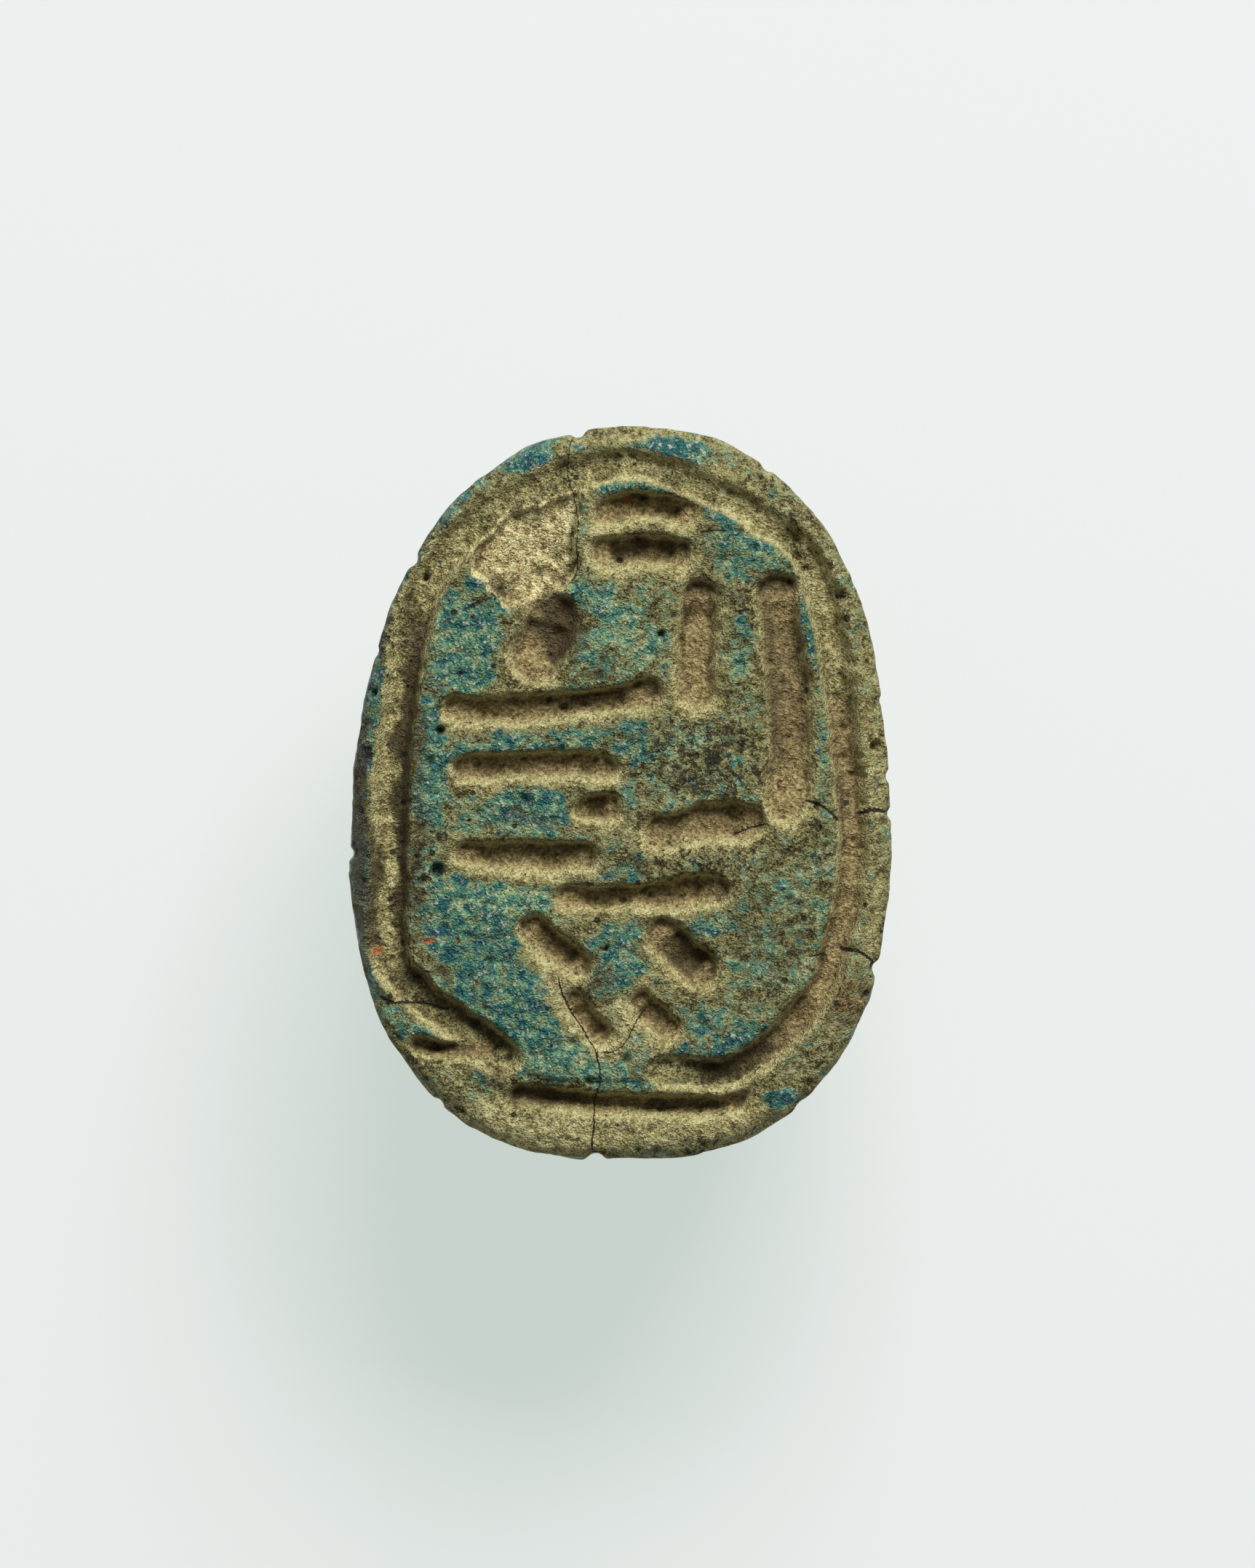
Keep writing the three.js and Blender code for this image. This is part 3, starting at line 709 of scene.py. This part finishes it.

# Where the paste is paler, above 0, or darker brown, below 0, in patches of the same kind. The darker
# patches are mostly painted shade, in hollows, under walls and down the left rim, and partly dirt.
PALE_AND_PAINTED_SHADE_PATCHES = (
    (2.4, 6.5, 0.9, 0.3, -35, 1.3), (0.9, 7.0, 1.5, 0.3, -5, 0.5), (0.7, 7.75, 1.6, 0.2, 0, 0.5),
    (-0.5, 5.7, 0.3, 1.0, 0, 0.7), (4.5, 4.7, 0.3, 1.2, 25, 0.6), (-1.9, -7.3, 1.5, 0.35, -8, 2.2),
    (1.3, -7.4, 2.0, 0.25, 4, 0.8), (-1.7, -1.9, 1.6, 0.35, 0, 0.4), (-1.3, -4.5, 0.3, 0.8, 25, 1.5),
    (-0.5, -5.4, 0.4, 0.5, 0, 1.8), (0.3, -4.7, 0.3, 0.7, -30, 1.4), (-0.5, -4.2, 0.4, 0.4, 0, -1.2),
    (-5.05, 1.6, 0.25, 2.4, -6, 0.8), (-5.1, -1.8, 0.2, 1.8, 0, 0.7), (-4.2, -5.2, 0.8, 0.25, -35, 0.5),
    (4.6, 3.6, 0.25, 1.2, 10, 1.3), (5.45, -1.0, 0.3, 3.2, 0, 0.8), (-3.4, 5.4, 0.4, 0.5, 0, 0.8),
    (-4.55, 0.3, 0.3, 4.2, 0, -1.4), (-5.65, -1.3, 0.35, 3.6, 0, -1.7), (-1.3, 3.6, 0.5, 0.8, -15, -1.9),
    (-0.6, 2.5, 0.5, 0.4, 0, -1.1), (0.6, 5.4, 0.8, 0.25, 0, -0.8), (-2.6, 4.4, 0.4, 0.3, 0, -0.6),
    (2.5, 4.4, 0.8, 0.35, 0, -0.7), (3.5, 2.6, 0.5, 2.0, 0, -0.9), (1.9, 0.1, 1.2, 0.9, 0, -0.1),
    (3.0, -3.1, 1.3, 1.3, 0, -0.45), (0.5, -1.5, 0.7, 0.25, 0, -0.8), (-2.0, -0.6, 1.1, 0.25, 0, -0.7),
    (1.5, -3.6, 0.6, 0.5, -40, -1.0), (-3.6, -4.6, 0.9, 0.25, -38, -1.0),
    (-3.6, -5.8, 1.0, 0.3, -20, -0.7), (-2.1, -6.45, 1.2, 0.3, -12, -1.0),
    (2.8, -5.6, 0.9, 0.35, 25, -1.1), (5.2, -4.6, 0.5, 0.9, -35, -0.4),
)

# Rust-coloured specks and an ochre stain, in patches of the same kind.
RUST = (
    (-4.2, -3.15, 0.12, 0.1, 0, 1.0), (-5.3, -3.55, 0.1, 0.12, 0, 1.0),
    (4.9, -4.6, 0.5, 0.8, -35, 0.3), (-4.15, -0.5, 0.2, 0.35, 0, 0.2),
    (0.2, 6.5, 0.12, 0.08, 0, 0.8),
)


PATCH_EDGE = (0.5, 1.5)  # shares of the half lengths where a patch's edge starts and ends


def patch(middle_x, middle_y, half_x, half_y, degrees):
    """1 inside an oval patch with a ragged edge, falling to 0 outside it."""
    cosine, sine = math.cos(math.radians(degrees)), math.sin(math.radians(degrees))
    right, up = ragged[:, 0] - middle_x, ragged[:, 1] - middle_y
    ahead = (right * cosine + up * sine) / half_x
    aside = (up * cosine - right * sine) / half_y
    return 1 - soft_step(np.hypot(ahead, aside), *PATCH_EDGE)


ragged = plan.copy()
ragged[:, 0] += uneven((0.25, 0.8, 40), (0.12, 0.35, 41))
ragged[:, 1] += uneven((0.25, 0.8, 42), (0.12, 0.35, 43))
glaze = np.where(outside, GLAZE_OUTSIDE, GLAZE_INSIDE)
blue = np.full(len(form), GLAZE_BLUE)
for *where, amount, hue in GLAZE:
    covers = patch(*where)
    glaze = np.maximum(glaze, amount * covers)
    blue += (hue - blue) * covers
soot = np.zeros(len(form))
for *where, amount in SOOT:
    soot = np.maximum(soot, amount * patch(*where))
# Paleness of the paste, and its darker patches, which are mostly painted shade.
shade = np.zeros(len(form))
for *where, amount in PALE_AND_PAINTED_SHADE_PATCHES:
    shade += (amount - shade) * patch(*where)
rust = np.zeros(len(form))
for *where, amount in RUST:
    rust = np.maximum(rust, amount * patch(*where))

# The beetle's side has its glaze in broad clouds. On the face the glaze is lost from the cuts, their
# rims and the pale paste, and the rims' greater paleness on their lower side, which faces the softbox,
# is painted light; the cuts' walls are rubbed; and dust lies in the strokes, and in the border at the
# lower right.
SIDE_GLAZE = 0.5
PLATE_FADE = (0.1, 0.5)  # how far above the ledge the plate's paint starts and is whole
GLAZE_LOST = {"cut": 0.9, "rim": 0.6, "pale": 0.25}
BARE_CUT = (0.15, 0.6)  # shares of a cut's depth between which the glaze ends
WALL_TOP = (0.0, 0.3)
WALL_FOOT = (0.6, 1.0)
BORDER_DUST = {"share": 0.25, "x": (2.5, 4.0), "y": (3.0, 1.0)}
RIM_PALENESS = 0.4
on_plate = soft_step(z, BODY_DEPTH + PLATE_FADE[0], BODY_DEPTH + PLATE_FADE[1])
side_glaze = SIDE_GLAZE + uneven((0.5, 1.6, 44), (0.25, 0.5, 45))
glaze = side_glaze + (glaze - side_glaze) * on_plate
glaze_lost = GLAZE_LOST["cut"] * soft_step(recess, *BARE_CUT)
glaze_lost += GLAZE_LOST["rim"] * worn_and_lit_stroke_rim + GLAZE_LOST["pale"] * np.maximum(shade, 0)
worn = soft_step(recess, *WALL_TOP) * (1 - soft_step(recess, *WALL_FOOT))
lower_right = soft_step(x, *BORDER_DUST["x"]) * soft_step(y, *BORDER_DUST["y"])
border_dust = BORDER_DUST["share"] + (1 - BORDER_DUST["share"]) * lower_right
dusty = np.maximum(stroke_cut, border_cut * border_dust)

# What the material reads at each point.
fields = {
    "glaze": glaze - glaze_lost * on_top,
    "blue": blue,
    "dust": dusty * on_top,
    "worn": worn * on_top,
    "core": in_chip * on_top - (1 - on_top),
    "soot": soot * on_plate,
    "shade": (shade + RIM_PALENESS * worn_and_lit_stroke_rim) * on_plate,
    "rust": rust * on_plate,
    "hollow": hollow,
    "hollow_fine": hollow_fine,
    "crack_side": crack_side,
    "crack_gap": crack_gap * on_top,
}
for name, values in fields.items():
    layer = mesh.attributes.new(name, "FLOAT", "POINT")
    layer.data.foreach_set("value", values.astype(np.float32))


def linear(colour):
    """An sRGB hex colour, such as "#7f7a54", as linear red, green, blue and alpha."""
    shares = [int(colour[i:i + 2], 16) / 255 for i in (1, 3, 5)]
    return [s / 12.92 if s <= 0.04045 else ((s + 0.055) / 1.055) ** 2.4 for s in shares] + [1]


def add(tree, kind, inputs=(), ramp=(), **settings):
    """Adds a node with its settings, and fills its inputs with values, or from other nodes."""
    made = tree.nodes.new("ShaderNode" + kind)
    for name, value in settings.items():
        setattr(made, name, value)
    for socket, value in dict(inputs).items():
        if isinstance(value, bpy.types.Node):
            value = next(output for output in value.outputs if output.enabled)
        if isinstance(value, bpy.types.NodeSocket):
            tree.links.new(value, made.inputs[socket])
        elif isinstance(value, str):
            made.inputs[socket].default_value = linear(value)
        else:
            made.inputs[socket].default_value = value
    for i, (position, colour) in enumerate(ramp):  # a new ramp already has two stops
        stop = made.color_ramp.elements[i] if i < 2 else made.color_ramp.elements.new(position)
        stop.position, stop.color = position, linear(colour)
    return made


# Glazed composition, fired: a sandy paste, dull and creamy, under the remains of a thin
# alkaline glaze that is glassy, blue where it is thick and green where it is thin. The
# patterns have their real sizes in millimetres, none of them too fine to show.
CLOUD_SIZE = 0.7  # how the glaze pooled and ran
TINT_SIZE = 0.28  # its thick and thin places
MOTTLE_SIZE = 0.22  # stains in the paste
FLECK_SIZE = 0.11  # unmelted quartz in the glaze
SPECK_SIZE = 0.08  # coarse sand
SAND_SIZE = 0.04  # fine sand
BUBBLE_SPACING = 0.45
GRIT_SPACING = 0.14
BEND = 0.35  # how far the grit's dots are pulled out of round
BUMP_DEPTH = 0.1  # the height of the finest relief, before each layer's weight
ELSEWHERE = (40, 30, 20)  # moves a pattern, so that it differs from others of its size
faience = bpy.data.materials.new("glazed_composition")
faience.use_nodes = True
tree = faience.node_tree
tree.nodes.clear()
metres = add(tree, "TexCoord").outputs["Object"]
mm = add(tree, "VectorMath", {0: metres, "Scale": 1 / MM}, operation="SCALE")
moved = add(tree, "VectorMath", {0: mm, 1: ELSEWHERE}, operation="ADD")
field = {name: add(tree, "Attribute", attribute_name=name).outputs["Fac"] for name in fields}
cloud = add(tree, "TexNoise", {"Vector": mm, "Scale": 1 / CLOUD_SIZE, "Detail": 2.0})
tint = add(tree, "TexNoise", {"Vector": moved, "Scale": 1 / TINT_SIZE, "Detail": 2.0, "Roughness": 0.6})
mottle = add(tree, "TexNoise", {"Vector": mm, "Scale": 1 / MOTTLE_SIZE, "Detail": 3.0, "Roughness": 0.6})
fleck = add(tree, "TexNoise", {"Vector": moved, "Scale": 1 / FLECK_SIZE, "Detail": 1.0})
speck = add(tree, "TexNoise", {"Vector": mm, "Scale": 1 / SPECK_SIZE, "Detail": 2.0, "Roughness": 0.6})
sand = add(tree, "TexNoise", {"Vector": mm, "Scale": 1 / SAND_SIZE, "Detail": 1.0})
bubble = add(tree, "TexVoronoi", {"Vector": mm, "Scale": 1 / BUBBLE_SPACING})
bubble_own = add(tree, "SeparateColor", {0: bubble.outputs["Color"]})
bend = {0: speck.outputs["Color"], 1: (BEND, BEND, BEND), 2: moved}
bent = add(tree, "VectorMath", bend, operation="MULTIPLY_ADD")
grit = add(tree, "TexVoronoi", {"Vector": bent, "Scale": 1 / GRIT_SPACING})
grit_own = add(tree, "SeparateColor", {0: grit.outputs["Color"]})

# Paste: each sum below is a start and layers, each times its weight.
tone = -0.12
for layer, weight in ((sand, 0.34), (speck, 0.42), (mottle, 0.48)):
    tone = add(tree, "Math", {0: layer, 1: weight, 2: tone}, operation="MULTIPLY_ADD")
pale_tone = tone
for layer, weight in ((field["worn"], 0.06), (field["shade"], 0.03)):
    pale_tone = add(tree, "Math", {0: layer, 1: weight, 2: pale_tone}, operation="MULTIPLY_ADD")
cream = add(tree, "ValToRGB", {0: pale_tone}, ramp=(
    (0.36, "#645a31"), (0.64, "#c9c28d"), (0.46, "#857a48"), (0.54, "#a39964")))
olive = add(tree, "ValToRGB", {0: tone}, ramp=(
    (0.38, "#2c2812"), (0.62, "#a59c66"), (0.46, "#58502a"), (0.53, "#7a7242")))
tan = add(tree, "ValToRGB", {0: tone}, ramp=(
    (0.38, "#735f34"), (0.62, "#e6deaa"), (0.46, "#b2a069"), (0.53, "#cbbf88")))
dust = add(tree, "ValToRGB", {0: speck}, ramp=((0.35, "#6f5d34"), (0.65, "#b7a473"), (0.5, "#948255")))
creamy = cloud
for layer, weight in ((field["shade"], 0.25), (tint, 1.2)):
    creamy = add(tree, "Math", {0: layer, 1: weight, 2: creamy}, operation="MULTIPLY_ADD")
creamy = add(tree, "MapRange", {"Value": creamy, "From Min": 1.0, "From Max": 1.2})

# Glaze: its colour by thickness, where it is left, the green tinge round it, and the quartz in it that
# never melted, which looks like sugar; its pale specks are also painted glints.
hue = add(tree, "Math", {0: field["blue"], 1: 1.87}, operation="SUBTRACT")
for layer, weight in ((tint, 2.6), (fleck, 0.8)):
    hue = add(tree, "Math", {0: layer, 1: weight, 2: hue}, operation="MULTIPLY_ADD")
glassy = add(tree, "ValToRGB", {0: hue}, ramp=(
    (0.0, "#a1ad7e"), (1.0, "#054656"), (0.25, "#6c936e"), (0.5, "#387160"), (0.7, "#1d6058"),
    (0.85, "#0c5256")))
left = field["glaze"]
for layer, weight in ((cloud, 1.4), (tint, 2.0), (tone, 1.8)):
    left = add(tree, "Math", {0: layer, 1: weight, 2: left}, operation="MULTIPLY_ADD")
tinged = add(tree, "MapRange", {"Value": left, "From Min": 2.65, "From Max": 3.0, "To Max": 0.45})
covered = add(tree, "MapRange", {"Value": left, "From Min": 2.95, "From Max": 3.35},
              interpolation_type="SMOOTHSTEP")
sugar_and_painted_glints = add(tree, "MapRange", {"Value": fleck, "From Min": 0.56, "From Max": 0.72})
sugar_and_glint_share = add(tree, "MapRange", {"Value": covered, "To Min": 0.3, "To Max": 0.65})
sugar_and_painted_glints = add(tree, "Math", {0: sugar_and_painted_glints, 1: sugar_and_glint_share}, operation="MULTIPLY")

# Rubbed edges, dust in the cuts, the bare chip
rubbed = add(tree, "Math", {0: mottle, 1: 1.6, 2: field["worn"]}, operation="MULTIPLY_ADD")
rubbed = add(tree, "MapRange", {"Value": rubbed, "From Min": 0.9, "From Max": 1.6, "To Max": 0.9})
dusted = add(tree, "Math", {0: mottle, 1: 1.2, 2: field["dust"]}, operation="MULTIPLY_ADD")
dusted = add(tree, "MapRange", {"Value": dusted, "From Min": 1.0, "From Max": 1.5})
bare = add(tree, "Math", {0: mottle, 1: 0.25, 2: field["core"]}, operation="MULTIPLY_ADD")
bare = add(tree, "MapRange", {"Value": bare, "From Min": 0.1, "From Max": 0.15})

# Dirt and painted shade in hollows and fine crevices, and rust
dirt_and_painted_shade = field["hollow"]
for layer, weight in ((mottle, -0.12), (field["shade"], -0.14)):
    dirt_and_painted_shade = add(tree, "Math", {0: layer, 1: weight, 2: dirt_and_painted_shade}, operation="MULTIPLY_ADD")
dirt_and_painted_shade = add(tree, "MapRange", {"Value": dirt_and_painted_shade, "From Min": -0.03, "From Max": 0.14, "To Max": 0.85})
hollows = {"Value": field["hollow_fine"], "From Min": 0.015, "From Max": 0.07, "To Max": 0.7}
crevice_dirt_and_painted_shade = add(tree, "MapRange", hollows)
rusty = add(tree, "Math", {0: speck, 1: field["rust"]}, operation="ADD")
rusty = add(tree, "MapRange", {"Value": rusty, "From Min": 0.75, "From Max": 1.1, "To Max": 0.75})

# Pits: round ones from bubbles, and rough ones of grit and soot
bubble_size = add(tree, "Math", {0: bubble_own, 1: 0.32, 2: -0.16}, operation="MULTIPLY_ADD")
round_pit = add(tree, "Math", {0: bubble_size, 1: bubble}, operation="SUBTRACT")
round_pit = add(tree, "MapRange", {"Value": round_pit, "From Min": -0.05, "From Max": 0.02})
grit_size = -0.6
for layer, weight in (
    (grit_own, 0.5), (mottle, 0.25), (sand, 0.5), (field["soot"], 0.5), (field["dust"], -0.1),
):
    grit_size = add(tree, "Math", {0: layer, 1: weight, 2: grit_size}, operation="MULTIPLY_ADD")
rough_pit = add(tree, "Math", {0: grit_size, 1: grit}, operation="SUBTRACT")
rough_pit = add(tree, "MapRange", {"Value": rough_pit, "From Min": -0.06, "From Max": 0.06})
pit = add(tree, "Math", {0: round_pit, 1: rough_pit}, operation="MAXIMUM")
pitted = add(tree, "Math", {0: pit, 1: 0.9}, operation="MULTIPLY")

# Cracks: a ragged dark line where the way to the crack's middle is less than its gap
off_crack = add(tree, "Math", {0: speck, 1: 0.1, 2: field["crack_side"]}, operation="MULTIPLY_ADD")
off_crack = add(tree, "Math", {0: off_crack, 1: 0.05}, operation="SUBTRACT")
off_crack = add(tree, "Math", {0: off_crack}, operation="ABSOLUTE")
in_crack = add(tree, "Math", {0: off_crack, 1: field["crack_gap"]}, operation="LESS_THAN")

# The layers from the paste up: how much of each there is, and its colour.
SHARE, UNDER, OVER = 0, 6, 7  # a colour Mix node's inputs
# The two dark layers after the bare chip are dirt together with painted shade in the hollows.
colour = olive
for share, over in (
    (creamy, cream), (tinged, "#728056"), (covered, glassy), (sugar_and_painted_glints, "#c5c8a3"),
    (rubbed, cream), (dusted, dust), (bare, tan), (dirt_and_painted_shade, "#40341b"), (crevice_dirt_and_painted_shade, "#332b16"),
    (rusty, "#a4561f"), (pitted, "#1f170d"), (in_crack, "#2a1f10"),
):
    colour = add(tree, "Mix", {SHARE: share, UNDER: colour, OVER: over}, data_type="RGBA")
rough = add(tree, "MapRange", {"Value": covered, "To Min": 0.85, "To Max": 0.32})
height = 0
for layer, weight in ((sand, 0.3), (speck, 0.4), (fleck, 0.6), (grit, -0.3), (pit, -0.4)):
    height = add(tree, "Math", {0: layer, 1: weight, 2: height}, operation="MULTIPLY_ADD")
bump = add(tree, "Bump", {"Strength": 1.0, "Distance": BUMP_DEPTH * MM, "Height": height})
add(tree, "OutputMaterial", {"Surface": add(tree, "BsdfPrincipled", {
    "Base Color": colour, "Roughness": rough, "Specular IOR Level": 0.45, "Normal": bump})})
mesh.materials.append(faience)

skin = bpy.data.objects.new("scarab_skin", mesh)
bpy.context.scene.collection.objects.link(skin)
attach(skin, "root")
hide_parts("scarab")

# ---------------------------------------------------------------------------------------
# The ground: a sheet of white glass lit from below, wide enough to fill every view. It lies
# a hair under the amulet, so that the two don't share a surface.
# ---------------------------------------------------------------------------------------
GROUND_WIDTH = 1200
GROUND_GAP = 0.02
ground_mesh = bpy.data.meshes.new("ground")
ground_bm = bmesh.new()
bmesh.ops.create_grid(ground_bm, x_segments=1, y_segments=1, size=GROUND_WIDTH / 2 * MM)
ground_bm.to_mesh(ground_mesh)
ground_bm.free()
ground = bpy.data.objects.new("ground", ground_mesh)
ground.location.z = -GROUND_GAP * MM
bpy.context.scene.collection.objects.link(ground)

# Opal glass with a lamp under it: an even, faintly green white that keeps a soft shadow.
glass = bpy.data.materials.new("lit_opal_glass")
glass.use_nodes = True
opal = glass.node_tree.nodes["Principled BSDF"]
opal.inputs["Base Color"].default_value = linear("#958891")
opal.inputs["Roughness"].default_value = 0.9
opal.inputs["Emission Color"].default_value = linear("#c1cdc6")
opal.inputs["Emission Strength"].default_value = 1.0
ground_mesh.materials.append(glass)

# ---------------------------------------------------------------------------------------
# Light and camera: one softbox beyond the head end, a little to the right, in a dim white
# room, and a long lens straight above.
# ---------------------------------------------------------------------------------------
ROOM_STRENGTH = 0.164
SOFTBOX_WIDTH = 300
SOFTBOX_HEIGHT = 200
SOFTBOX_DISTANCE = 450
SOFTBOX_WATTS = 2.76
SOFTBOX_TURN = math.radians(16)
SOFTBOX_LIFT = math.radians(39)
scene = bpy.context.scene
scene.view_settings.view_transform = "Standard"
world = bpy.data.worlds.new("studio")
world.use_nodes = True
world.node_tree.nodes["Background"].inputs["Color"].default_value = linear("#fbfffe")
world.node_tree.nodes["Background"].inputs["Strength"].default_value = ROOM_STRENGTH
scene.world = world
light = bpy.data.lights.new("softbox", "AREA")
light.shape = "RECTANGLE"
light.size = SOFTBOX_WIDTH * MM
light.size_y = SOFTBOX_HEIGHT * MM
light.energy = SOFTBOX_WATTS
softbox = bpy.data.objects.new("softbox", light)
away = SOFTBOX_DISTANCE * MM * math.cos(SOFTBOX_LIFT)
up = SOFTBOX_DISTANCE * MM * math.sin(SOFTBOX_LIFT)
softbox.location = (away * math.sin(SOFTBOX_TURN), away * math.cos(SOFTBOX_TURN), up)
softbox.rotation_euler = (math.pi / 2 - SOFTBOX_LIFT, 0, math.pi - SOFTBOX_TURN)
scene.collection.objects.link(softbox)

FRAME_HEIGHT = 34.2
FRAME_MIDDLE = (0.167, 0.206)
CAMERA_DISTANCE = 250
SENSOR_WIDTH = 36
camera = bpy.data.cameras.new("camera")
camera.lens = SENSOR_WIDTH * CAMERA_DISTANCE / FRAME_HEIGHT
camera.clip_start = 0.01
eye = bpy.data.objects.new("camera", camera)
eye.location = (FRAME_MIDDLE[0] * MM, FRAME_MIDDLE[1] * MM, (HEIGHT + CAMERA_DISTANCE) * MM)
scene.collection.objects.link(eye)
scene.camera = eye
